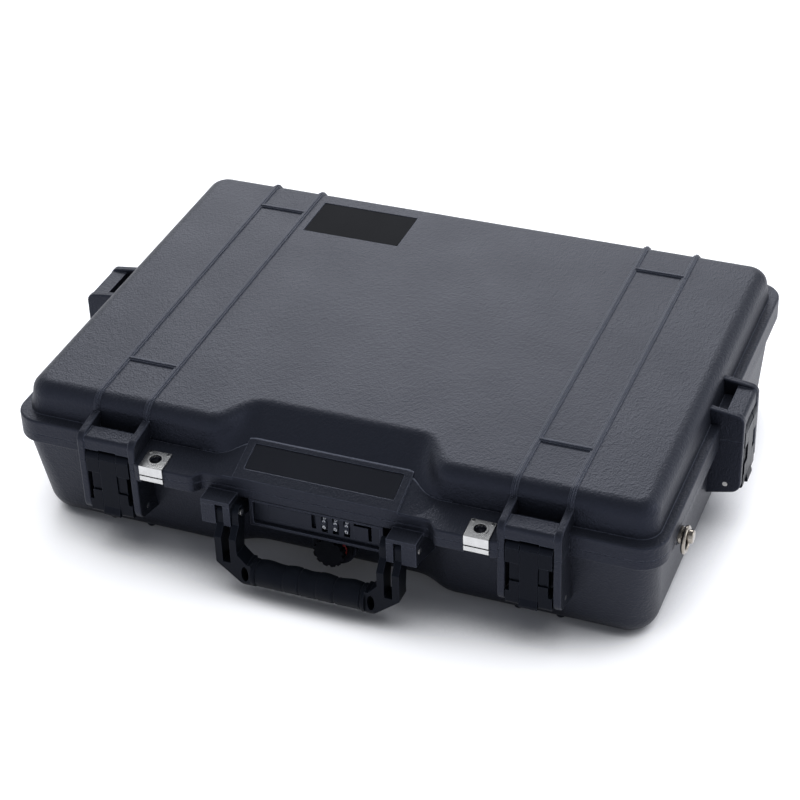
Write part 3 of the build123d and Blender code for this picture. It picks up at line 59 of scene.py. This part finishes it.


# ---- Both shells, with their latch guards ----------------------------------------
# Injection-moulded black polypropylene copolymer. The mould is etched with a fine
# leather grain, and the ribs, fins and rims carry a paler line along their edges: a painted highlight.

def moulded_plastic(
        name, colour, edge_highlight, roughness, grain, depth,
        height=0.0003, stretch=(1, 1, 1), edge=0.0006, shine=0.5):
    """Etched or satin plastic: two grains in the bump, uneven gloss, and edges painted in a highlight colour.
    """
    material = bpy.data.materials.new(name)
    material.use_nodes = True
    nodes, links = material.node_tree.nodes, material.node_tree.links
    shader = nodes["Principled BSDF"]
    shader.inputs["Specular IOR Level"].default_value = shine
    # The bluish specular tint colours every reflection blue: the studio light's blue cast painted into the
    # plastic.
    shader.inputs["Specular Tint"].default_value = (0.62, 0.68, 0.96, 1)

    place = nodes.new("ShaderNodeTexCoord")
    stretched = nodes.new("ShaderNodeMapping")
    stretched.inputs["Scale"].default_value = stretch
    links.new(place.outputs["Object"], stretched.inputs["Vector"])

    pebbles = nodes.new("ShaderNodeTexVoronoi")
    pebbles.feature = "SMOOTH_F1"
    pebbles.inputs["Scale"].default_value = 1 / grain
    pebbles.inputs["Smoothness"].default_value = 0.6
    links.new(stretched.outputs["Vector"], pebbles.inputs["Vector"])
    creases = nodes.new("ShaderNodeTexNoise")
    creases.inputs["Scale"].default_value = 0.45 / grain
    creases.inputs["Detail"].default_value = 4
    links.new(stretched.outputs["Vector"], creases.inputs["Vector"])
    relief = nodes.new("ShaderNodeMath")
    relief.operation = "MULTIPLY_ADD"
    relief.inputs[1].default_value = 0.6
    links.new(pebbles.outputs["Distance"], relief.inputs[0])
    links.new(creases.outputs["Fac"], relief.inputs[2])

    rounded = nodes.new("ShaderNodeBevel")
    rounded.samples = 4
    rounded.inputs["Radius"].default_value = edge
    bump = nodes.new("ShaderNodeBump")
    bump.inputs["Strength"].default_value = depth
    bump.inputs["Distance"].default_value = height
    links.new(relief.outputs["Value"], bump.inputs["Height"])
    links.new(rounded.outputs["Normal"], bump.inputs["Normal"])
    links.new(bump.outputs["Normal"], shader.inputs["Normal"])

    patches = nodes.new("ShaderNodeTexNoise")
    patches.inputs["Scale"].default_value = 22
    patches.inputs["Detail"].default_value = 5
    links.new(place.outputs["Object"], patches.inputs["Vector"])
    gloss = nodes.new("ShaderNodeMapRange")
    gloss.inputs["From Min"].default_value = 0.3
    gloss.inputs["From Max"].default_value = 0.7
    gloss.inputs["To Min"].default_value = roughness - 0.015
    gloss.inputs["To Max"].default_value = roughness + 0.02
    links.new(patches.outputs["Fac"], gloss.inputs["Value"])
    links.new(gloss.outputs["Result"], shader.inputs["Roughness"])

    # Where the rounded normal turns away from the surface normal, at edges, the colour moves to the edge
    # colour: a painted highlight along the edges.
    surface = nodes.new("ShaderNodeNewGeometry")
    same_way = nodes.new("ShaderNodeVectorMath")
    same_way.operation = "DOT_PRODUCT"
    links.new(rounded.outputs["Normal"], same_way.inputs[0])
    links.new(surface.outputs["Normal"], same_way.inputs[1])
    highlight_mask = nodes.new("ShaderNodeMapRange")
    highlight_mask.inputs["From Min"].default_value = 0.995
    highlight_mask.inputs["From Max"].default_value = 0.90
    highlight_mask.inputs["To Min"].default_value = 0.0
    highlight_mask.inputs["To Max"].default_value = 0.8
    links.new(same_way.outputs["Value"], highlight_mask.inputs["Value"])
    tone = nodes.new("ShaderNodeMixRGB")
    tone.inputs["Color1"].default_value = (*[channel * 0.86 for channel in colour], 1)
    tone.inputs["Color2"].default_value = (*[channel * 1.14 for channel in colour], 1)
    links.new(creases.outputs["Fac"], tone.inputs["Fac"])
    edges = nodes.new("ShaderNodeMixRGB")
    edges.inputs["Color2"].default_value = (*edge_highlight, 1)
    links.new(highlight_mask.outputs["Result"], edges.inputs["Fac"])
    links.new(tone.outputs["Color"], edges.inputs["Color1"])
    links.new(edges.outputs["Color"], shader.inputs["Base Color"])
    return material


def give(material, *names):
    """Puts a material on every material slot of the CAD nodes named."""
    for name in names:
        for material_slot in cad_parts[name].material_slots:
            material_slot.material = material


# The shells' second colour is the painted highlight along their edges.
shell_plastic = moulded_plastic(
    "shell_plastic", colour=(0.0085, 0.0097, 0.0135), edge_highlight=(0.085, 0.095, 0.125),
    roughness=0.44, grain=0.0011, depth=1.0, height=0.00036, stretch=(1, 0.6, 1), edge=0.0010, shine=0.32)
LATCH_PLACES = ("front_left", "front_right", "side_left", "side_right")
give(shell_plastic, "base_shell", "base_front_ledge", "lid_shell", "lid_front_ledge")
give(shell_plastic, *[f"base_latch_guard_{place}" for place in LATCH_PLACES])
give(shell_plastic, *[f"lid_latch_guard_{place}" for place in LATCH_PLACES])


# ---- Lid seal -------------------------------------------------------------------
# Soft black elastomer cord, square in section, pressed into the lid's groove. It is
# dull, with a crushed line where the base's tongue sinks into it.

seal_rubber = moulded_plastic(
    "seal_rubber", colour=(0.010, 0.010, 0.011), edge_highlight=(0.020, 0.020, 0.022),
    roughness=0.75, grain=0.0005, depth=0.3, edge=0.0004)
give(seal_rubber, "lid_gasket")


# ---- Foam linings -----------------------------------------------------------------
# Charcoal open-cell polyurethane, glued into both shells. The base's block is cut for
# the laptop, and the lid's pad is convoluted so that it presses lightly on it.

def foam_material():
    """Open-cell foam: tiny cells, soft sheen, and colour that darkens where the relief is lower, painted
    shade in the pits, with random tone in clumps.
    """
    material = bpy.data.materials.new("foam_cells")
    material.use_nodes = True
    nodes, links = material.node_tree.nodes, material.node_tree.links
    shader = nodes["Principled BSDF"]
    shader.inputs["Roughness"].default_value = 0.95
    shader.inputs["Sheen Weight"].default_value = 0.35
    shader.inputs["Sheen Roughness"].default_value = 0.6

    place = nodes.new("ShaderNodeTexCoord")
    cells = nodes.new("ShaderNodeTexVoronoi")
    cells.inputs["Scale"].default_value = 900
    links.new(place.outputs["Object"], cells.inputs["Vector"])
    clumps = nodes.new("ShaderNodeTexNoise")
    clumps.inputs["Scale"].default_value = 120
    clumps.inputs["Detail"].default_value = 6
    links.new(place.outputs["Object"], clumps.inputs["Vector"])
    relief = nodes.new("ShaderNodeMath")
    relief.operation = "ADD"
    links.new(cells.outputs["Distance"], relief.inputs[0])
    links.new(clumps.outputs["Fac"], relief.inputs[1])
    bump = nodes.new("ShaderNodeBump")
    bump.inputs["Strength"].default_value = 0.8
    bump.inputs["Distance"].default_value = 0.0006
    links.new(relief.outputs["Value"], bump.inputs["Height"])
    links.new(bump.outputs["Normal"], shader.inputs["Normal"])
    # The colour follows the bump's relief, darker where it is lower: painted shade in the cells' pits and
    # hollows.
    shade = nodes.new("ShaderNodeValToRGB")
    shade.color_ramp.elements[0].position = 0.15
    shade.color_ramp.elements[0].color = (0.016, 0.016, 0.018, 1)
    shade.color_ramp.elements[1].position = 0.75
    shade.color_ramp.elements[1].color = (0.060, 0.061, 0.066, 1)
    links.new(relief.outputs["Value"], shade.inputs["Fac"])
    links.new(shade.outputs["Color"], shader.inputs["Base Color"])
    return material


def foam_piece(name, node, cell):
    """A foam block with softened edges, cut to the room that its CAD solid holds."""
    block = bmesh.new()
    block.from_mesh(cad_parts[node].data)
    bmesh.ops.remove_doubles(block, verts=block.verts, dist=1e-5)
    mesh = bpy.data.meshes.new(name)
    block.to_mesh(mesh)
    block.free()
    mesh.materials.clear()
    piece = bpy.data.objects.new(name, mesh)
    bpy.context.scene.collection.objects.link(piece)
    remesh = piece.modifiers.new("even", "REMESH")
    remesh.mode = "VOXEL"
    remesh.voxel_size = cell
    even = bpy.data.meshes.new_from_object(piece.evaluated_get(bpy.context.evaluated_depsgraph_get()))
    piece.modifiers.clear()
    piece.data = even
    return piece


def soften(foam, turns):
    """Rounds every edge of a bmesh block by averaging each vertex with its neighbours."""
    for _ in range(turns):
        bmesh.ops.smooth_vert(
            foam, verts=foam.verts, factor=0.5, use_axis_x=True, use_axis_y=True, use_axis_z=True)


foam_cells = foam_material()
FOAM_MESH = 0.0035
FOAM_TOP_GAP = 0.0003        # the block ends this far below its solid's top

base_block = foam_piece("base_foam_block", "base_foam", FOAM_MESH)
low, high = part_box("base_foam")
soft = bmesh.new()
soft.from_mesh(base_block.data)
soften(soft, turns=3)
for vert in soft.verts:
    vert.co.z = min(vert.co.z, high[2] - FOAM_TOP_GAP)
soft.to_mesh(base_block.data)
soft.free()
base_block.data.materials.append(foam_cells)
base_block.data.shade_smooth()
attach(base_block, "base")
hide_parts("base_foam")

EGG_PITCH = 0.028
EGG_DEPTH = 0.012
EGG_FACE = 0.004             # vertices this close to the pad's underside take the wave
EGG_LIFT = 0.0006
EGG_MARGIN, EGG_FADE = 0.006, 0.012      # flat border of the pad, and where the wave fades in
lid_pad = foam_piece("lid_foam_pad", "lid_foam", FOAM_MESH)
low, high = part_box("lid_foam")
eggs = bmesh.new()
eggs.from_mesh(lid_pad.data)
for vert in eggs.verts:
    if vert.co.z < low[2] + EGG_FACE:
        inside = min(vert.co.x - low[0], high[0] - vert.co.x, vert.co.y - low[1], high[1] - vert.co.y)
        fade = max(0, min(1, (inside - EGG_MARGIN) / EGG_FADE))
        wave = math.cos(math.tau * vert.co.x / EGG_PITCH) * math.cos(math.tau * vert.co.y / EGG_PITCH)
        vert.co.z += EGG_LIFT + fade * EGG_DEPTH * (0.5 - 0.5 * wave)
soften(eggs, turns=2)
eggs.to_mesh(lid_pad.data)
eggs.free()
lid_pad.data.materials.append(foam_cells)
lid_pad.data.shade_smooth()
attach(lid_pad, "lid")
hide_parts("lid_foam")


# ---- Hinge, handle, latch and lever pins --------------------------------------------
# Drawn stainless rod with headed or sheared ends, pressed through the mouldings.

def metal(name, colour, roughness, brush, depth, stain=0.25, edge=0.0004):
    """Bare metal with drawing or rolling lines along brush and a dull film in patches."""
    material = bpy.data.materials.new(name)
    material.use_nodes = True
    nodes, links = material.node_tree.nodes, material.node_tree.links
    shader = nodes["Principled BSDF"]
    shader.inputs["Metallic"].default_value = 1.0

    place = nodes.new("ShaderNodeTexCoord")
    drawn = nodes.new("ShaderNodeMapping")
    drawn.inputs["Scale"].default_value = brush
    links.new(place.outputs["Object"], drawn.inputs["Vector"])
    lines = nodes.new("ShaderNodeTexNoise")
    lines.inputs["Scale"].default_value = 1.0
    lines.inputs["Detail"].default_value = 3
    links.new(drawn.outputs["Vector"], lines.inputs["Vector"])
    film = nodes.new("ShaderNodeTexNoise")
    film.inputs["Scale"].default_value = 160
    film.inputs["Detail"].default_value = 4
    links.new(place.outputs["Object"], film.inputs["Vector"])

    rounded = nodes.new("ShaderNodeBevel")
    rounded.samples = 4
    rounded.inputs["Radius"].default_value = edge
    bump = nodes.new("ShaderNodeBump")
    bump.inputs["Strength"].default_value = depth
    bump.inputs["Distance"].default_value = 0.0001
    links.new(lines.outputs["Fac"], bump.inputs["Height"])
    links.new(rounded.outputs["Normal"], bump.inputs["Normal"])
    links.new(bump.outputs["Normal"], shader.inputs["Normal"])

    gloss = nodes.new("ShaderNodeMapRange")
    gloss.inputs["From Min"].default_value = 0.3
    gloss.inputs["From Max"].default_value = 0.7
    gloss.inputs["To Min"].default_value = roughness * 0.75
    gloss.inputs["To Max"].default_value = roughness * 1.3
    links.new(film.outputs["Fac"], gloss.inputs["Value"])
    links.new(gloss.outputs["Result"], shader.inputs["Roughness"])
    tone = nodes.new("ShaderNodeMixRGB")
    tone.inputs["Color1"].default_value = (*colour, 1)
    tone.inputs["Color2"].default_value = (*[channel * (1 - stain) for channel in colour], 1)
    links.new(film.outputs["Fac"], tone.inputs["Fac"])
    links.new(tone.outputs["Color"], shader.inputs["Base Color"])
    return material


pin_steel = metal("pin_steel", colour=(0.62, 0.61, 0.59), roughness=0.28, brush=(300, 2500, 2500), depth=0.3)
give(pin_steel, "hinge_pin_left", "hinge_pin_right", "handle_pin_left", "handle_pin_right")
give(pin_steel, *[f"latch_pivot_pin_{place}" for place in LATCH_PLACES])
give(pin_steel, *[f"latch_lever_pin_{place}" for place in LATCH_PLACES])


# ---- Latches ------------------------------------------------------------------------
# Double-throw latches in smooth black glass-filled plastic: a frame that turns on its
# lower pin, and a lever in its window that prises the frame off the keeper.

latch_plastic = moulded_plastic(
    "latch_plastic", colour=(0.0035, 0.0045, 0.0065), edge_highlight=(0.050, 0.058, 0.075),
    roughness=0.34, grain=0.0005, depth=0.16, shine=0.10)
give(latch_plastic, *[f"latch_frame_{place}" for place in LATCH_PLACES])
give(latch_plastic, *[f"latch_lever_{place}" for place in LATCH_PLACES])


# ---- Handle -------------------------------------------------------------------------
# A smooth black nylon yoke on two steel pins, with a soft rubber grip moulded over its
# bar: finger waves on top, scored rings, and a thicker collar at each end.

handle_plastic = moulded_plastic(
    "handle_plastic", colour=(0.0035, 0.0045, 0.0065), edge_highlight=(0.040, 0.046, 0.060),
    roughness=0.38, grain=0.0006, depth=0.18, shine=0.10)
give(handle_plastic, "handle_frame")
grip_rubber = moulded_plastic(
    "grip_rubber", colour=(0.0040, 0.0050, 0.0070), edge_highlight=(0.030, 0.034, 0.044),
    roughness=0.48, grain=0.0009, depth=0.25, shine=0.09)

GRIP_RINGS = 220
GRIP_FACETS = 64
GRIP_WAVE, WAVE_PITCH = 0.0016, 0.023
COLLAR, COLLAR_STEP = 0.0425, 0.0006
SCORE_WIDTH = 0.0011
SCORES = (                   # place along the grip, and depth
    (-COLLAR, 0.0012), (-0.020, 0.0004), (-0.007, 0.0010),
    (0.007, 0.0004), (0.021, 0.0010), (COLLAR, 0.0012))
low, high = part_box("handle_grip")
grip_bar = bmesh.new()
bmesh.ops.create_cone(grip_bar, cap_ends=True, segments=GRIP_FACETS, radius1=1, radius2=1, depth=1)
long_edges = [edge for edge in grip_bar.edges if abs(edge.verts[0].co.z - edge.verts[1].co.z) > 0.5]
bmesh.ops.subdivide_edges(grip_bar, edges=long_edges, cuts=GRIP_RINGS, use_grid_fill=True)
for vert in grip_bar.verts:
    along = vert.co.z * (high[0] - low[0])
    wave = GRIP_WAVE * (0.5 - 0.5 * math.cos(math.tau * (along - low[0]) / WAVE_PITCH))
    sunk = COLLAR_STEP if abs(along) < COLLAR else 0
    for place, score in SCORES:
        sunk = max(sunk, sunk + score * (1 - abs(along - place) / SCORE_WIDTH))
    half_depth = (high[1] - low[1]) / 2 - sunk
    half_height = (high[2] - low[2] - GRIP_WAVE + wave) / 2 - sunk
    middle_z = low[2] + sunk + half_height
    vert.co = (along, (low[1] + high[1]) / 2 + half_depth * vert.co.x, middle_z + half_height * vert.co.y)
bmesh.ops.recalc_face_normals(grip_bar, faces=grip_bar.faces)
grip_mesh = bpy.data.meshes.new("grip_sleeve")
grip_bar.to_mesh(grip_mesh)
grip_bar.free()
grip_mesh.materials.append(grip_rubber)
grip_mesh.shade_smooth()
grip_mesh.set_sharp_from_angle(angle=math.radians(40))
grip_sleeve = bpy.data.objects.new("grip_sleeve", grip_mesh)
bpy.context.scene.collection.objects.link(grip_sleeve)
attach(grip_sleeve, "handle")
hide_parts("handle_grip")


# ---- Combination lock ------------------------------------------------------------------
# A glossy black housing clipped in under the nose, with three number wheels, a sliding
# bolt, and a push button at its right end. The wheels' digits are pad-printed white.

lock_plastic = moulded_plastic(
    "lock_plastic", colour=(0.0050, 0.0060, 0.0085), edge_highlight=(0.070, 0.078, 0.100),
    roughness=0.34, grain=0.0006, depth=0.10, shine=0.25)
give(lock_plastic, "lock_housing", "lock_slider", "lock_button")
give(lock_plastic, "lock_dial_1", "lock_dial_2", "lock_dial_3")
lock_steel = metal(
    "lock_steel", colour=(0.50, 0.50, 0.50), roughness=0.35, brush=(1500, 300, 1500), depth=0.3)
give(lock_steel, "lock_dial_axle", "lock_hasp")

digit_ink = moulded_plastic(
    "digit_ink", colour=(0.86, 0.87, 0.88), edge_highlight=(0.80, 0.81, 0.82),
    roughness=0.45, grain=0.0003, depth=0.1, edge=0.0001)
DIGIT_HEIGHT = 0.0037
DIGIT_SHARE = 0.72           # a digit's height, as a share of the font's size
BEND_ROWS, BEND_STEP = 4, 0.0005     # cuts that let a digit bend round its wheel
DIGIT_TURN = 36
SHOWN_FIRST = (9, 9, 9)
for number in (1, 2, 3):
    low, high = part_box(f"lock_dial_{number}")
    middle = (Vector(low) + Vector(high)) / 2
    radius = (high[2] - low[2]) / 2
    wheel = bmesh.new()
    for digit in range(10):
        words = bpy.data.curves.new(f"digit_{number}_{digit}", "FONT")
        words.body = str(digit)
        words.size = DIGIT_HEIGHT / DIGIT_SHARE
        words.align_x = "CENTER"
        words.align_y = "CENTER"
        words.extrude = 0.00005
        words.offset = 0.00015
        writer = bpy.data.objects.new("writer", words)
        bpy.context.scene.collection.objects.link(writer)
        flat = bpy.data.meshes.new_from_object(writer.evaluated_get(bpy.context.evaluated_depsgraph_get()))
        bpy.data.objects.remove(writer)
        bpy.data.curves.remove(words)
        bent = bmesh.new()
        bent.from_mesh(flat)
        for row in range(-BEND_ROWS, BEND_ROWS + 1):
            everything = bent.verts[:] + bent.edges[:] + bent.faces[:]
            bmesh.ops.bisect_plane(
                bent, geom=everything, dist=1e-7, plane_co=(0, row * BEND_STEP, 0), plane_no=(0, 1, 0))
        for vert in bent.verts:
            angle = vert.co.y / radius
            reach = radius + vert.co.z
            vert.co = (vert.co.x, reach * math.sin(angle), reach * math.cos(angle))
        steps = digit - SHOWN_FIRST[number - 1] - 0.5
        turn = math.radians(90 + DIGIT_TURN * steps)
        bmesh.ops.transform(
            bent, matrix=Matrix.Translation(middle) @ Matrix.Rotation(turn, 4, "X"), verts=bent.verts)
        bent.to_mesh(flat)
        bent.free()
        wheel.from_mesh(flat)
        bpy.data.meshes.remove(flat)
    digits = bpy.data.meshes.new(f"dial_digits_{number}")
    wheel.to_mesh(digits)
    wheel.free()
    digits.materials.clear()
    digits.materials.append(digit_ink)
    ring = bpy.data.objects.new(f"dial_digits_{number}", digits)
    bpy.context.scene.collection.objects.link(ring)
    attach(ring, f"lock_dial_{number}")


# ---- Padlock protectors ------------------------------------------------------------------
# Bright rolled stainless sheet, pressed over both rims, with a drawn eye round the hole.

stainless = metal("stainless", colour=(0.64, 0.64, 0.63), roughness=0.24, brush=(120, 1800, 1800), depth=0.25)
give(stainless, "padlock_plate_lid_left", "padlock_plate_lid_right")
give(stainless, "padlock_plate_base_left", "padlock_plate_base_right")


# ---- Purge valve ---------------------------------------------------------------------------
# A black plastic valve screwed through the front wall on a red silicone ring.

valve_plastic = moulded_plastic(
    "valve_plastic", colour=(0.0070, 0.0078, 0.0095), edge_highlight=(0.026, 0.029, 0.035),
    roughness=0.45, grain=0.0006, depth=0.15, shine=0.15)
give(valve_plastic, "valve_body", "valve_knob")
valve_red = moulded_plastic(
    "valve_red", colour=(0.40, 0.030, 0.015), edge_highlight=(0.55, 0.07, 0.04),
    roughness=0.45, grain=0.0005, depth=0.2)
give(valve_red, "valve_oring")


# ---- Strap studs and rings ---------------------------------------------------------------------
# Turned brass studs and wire rings in dark nickel, one at each end of the base's rim.

dark_chrome = metal(
    "dark_chrome", colour=(0.34, 0.31, 0.27), roughness=0.20, brush=(900, 900, 900), depth=0.15)
give(dark_chrome, "strap_stud_left", "strap_stud_right", "strap_ring_left", "strap_ring_right")


# ---- Label place and front panel ------------------------------------------------------------------
# Thin flat black sheets stuck in recesses of the lid, both left bare.

plate_plastic = moulded_plastic(
    "plate_plastic", colour=(0.0045, 0.0050, 0.0062), edge_highlight=(0.020, 0.022, 0.026),
    roughness=0.38, grain=0.0008, depth=0.10, edge=0.0003, shine=0.3)
give(plate_plastic, "front_panel_plate")
label_film = moulded_plastic(
    "label_film", colour=(0.0030, 0.0033, 0.0040), edge_highlight=(0.012, 0.013, 0.016),
    roughness=0.62, grain=0.0006, depth=0.10, edge=0.0003, shine=0.06)
give(label_film, "lid_label_plate")


# ---- Studio ---------------------------------------------------------------------------------------
# A pale seamless paper floor under soft light from a ceiling, with one softbox behind
# the case and a weaker one at its right. The paper is lifted to white for camera, glossy and transmission
# rays, and the lift fades near the case: a painted contact shadow.

floor_mesh = bpy.data.meshes.new("studio_floor")
sheet = bmesh.new()
bmesh.ops.create_grid(sheet, x_segments=1, y_segments=1, size=12)
sheet.to_mesh(floor_mesh)
sheet.free()
studio_floor = bpy.data.objects.new("studio_floor", floor_mesh)
bpy.context.scene.collection.objects.link(studio_floor)

paper = bpy.data.materials.new("studio_paper")
paper.use_nodes = True
nodes, links = paper.node_tree.nodes, paper.node_tree.links
paper_shader = nodes["Principled BSDF"]
paper_shader.inputs["Base Color"].default_value = (0.60, 0.61, 0.65, 1)
paper_shader.inputs["Roughness"].default_value = 0.9
paper_shader.inputs["Specular IOR Level"].default_value = 0.1
seen = nodes.new("ShaderNodeLightPath")
straight = nodes.new("ShaderNodeMath")
straight.operation = "MAXIMUM"
links.new(seen.outputs["Is Camera Ray"], straight.inputs[0])
links.new(seen.outputs["Is Glossy Ray"], straight.inputs[1])
either = nodes.new("ShaderNodeMath")
either.operation = "MAXIMUM"
links.new(straight.outputs["Value"], either.inputs[0])
links.new(seen.outputs["Is Transmission Ray"], either.inputs[1])
# An ambient-occlusion node cuts the paper's glow near the case, painting a contact shadow on the floor.
contact_shadow_ao = nodes.new("ShaderNodeAmbientOcclusion")
contact_shadow_ao.samples = 16
contact_shadow_ao.inputs["Distance"].default_value = 0.13
share = nodes.new("ShaderNodeMapRange")
share.inputs["From Min"].default_value = 0.30
share.inputs["From Max"].default_value = 0.64
share.inputs["To Min"].default_value = 0.02
share.inputs["To Max"].default_value = 0.60
links.new(contact_shadow_ao.outputs["AO"], share.inputs["Value"])
lift = nodes.new("ShaderNodeMath")
lift.operation = "MULTIPLY"
links.new(share.outputs["Result"], lift.inputs[1])
links.new(either.outputs["Value"], lift.inputs[0])
paper_shader.inputs["Emission Color"].default_value = (1, 1, 1, 1)
links.new(lift.outputs["Value"], paper_shader.inputs["Emission Strength"])
floor_mesh.materials.append(paper)

world = bpy.data.worlds.new("studio")
world.use_nodes = True
bpy.context.scene.world = world
nodes, links = world.node_tree.nodes, world.node_tree.links
air = nodes["Background"]
air.inputs["Color"].default_value = (0.80, 0.86, 1.0, 1)
air.inputs["Strength"].default_value = 0.22
way = nodes.new("ShaderNodeTexCoord")
rise = nodes.new("ShaderNodeSeparateXYZ")
links.new(way.outputs["Generated"], rise.inputs["Vector"])
sweep = nodes.new("ShaderNodeMapRange")
sweep.inputs["From Min"].default_value = 0.55
sweep.inputs["From Max"].default_value = 0.85
sweep.inputs["To Min"].default_value = 1.0
sweep.inputs["To Max"].default_value = 0.22
links.new(rise.outputs["Z"], sweep.inputs["Value"])
mirrored = nodes.new("ShaderNodeBackground")
mirrored.inputs["Color"].default_value = (0.93, 0.95, 1.0, 1)
links.new(sweep.outputs["Result"], mirrored.inputs["Strength"])
white = nodes.new("ShaderNodeBackground")
white.inputs["Color"].default_value = (1, 1, 1, 1)
white.inputs["Strength"].default_value = 1.0
ray = nodes.new("ShaderNodeLightPath")
gloss_ray = nodes.new("ShaderNodeMixShader")
links.new(ray.outputs["Is Glossy Ray"], gloss_ray.inputs["Fac"])
links.new(air.outputs["Background"], gloss_ray.inputs[1])
links.new(mirrored.outputs["Background"], gloss_ray.inputs[2])
through = nodes.new("ShaderNodeMath")
through.operation = "MAXIMUM"
links.new(ray.outputs["Is Camera Ray"], through.inputs[0])
links.new(ray.outputs["Is Transmission Ray"], through.inputs[1])
choice = nodes.new("ShaderNodeMixShader")
links.new(through.outputs["Value"], choice.inputs["Fac"])
links.new(gloss_ray.outputs["Shader"], choice.inputs[1])
links.new(white.outputs["Background"], choice.inputs[2])
links.new(choice.outputs["Shader"], nodes["World Output"].inputs["Surface"])


def softbox(name, place, aim, size, watts, mirrored_too=True):
    """A flat studio light at place, turned to face aim."""
    lamp = bpy.data.lights.new(name, "AREA")
    lamp.shape = "RECTANGLE"
    lamp.size, lamp.size_y = size
    lamp.energy = watts
    holder = bpy.data.objects.new(name, lamp)
    holder.location = place
    holder.rotation_euler = (Vector(aim) - Vector(place)).to_track_quat("-Z", "Y").to_euler()
    holder.visible_glossy = mirrored_too
    bpy.context.scene.collection.objects.link(holder)


ceiling = bpy.data.lights.new("ceiling_bounce", "SUN")
ceiling.energy = 3.0
ceiling.angle = math.radians(70)
ceiling_holder = bpy.data.objects.new("ceiling_bounce", ceiling)
ceiling_holder.rotation_euler = Vector((0.12, 0.28, 1)).to_track_quat("Z", "Y").to_euler()
ceiling_holder.visible_glossy = False
bpy.context.scene.collection.objects.link(ceiling_holder)
softbox("back_softbox", place=(-1.1, 2.8, 2.0), aim=(0, 0, 0), size=(2.4, 1.0), watts=45)
softbox("right_softbox", place=(2.0, 0.6, 0.8), aim=(0, 0, 0.05), size=(1.0, 1.0), watts=8)

bpy.context.scene.view_settings.view_transform = "Standard"
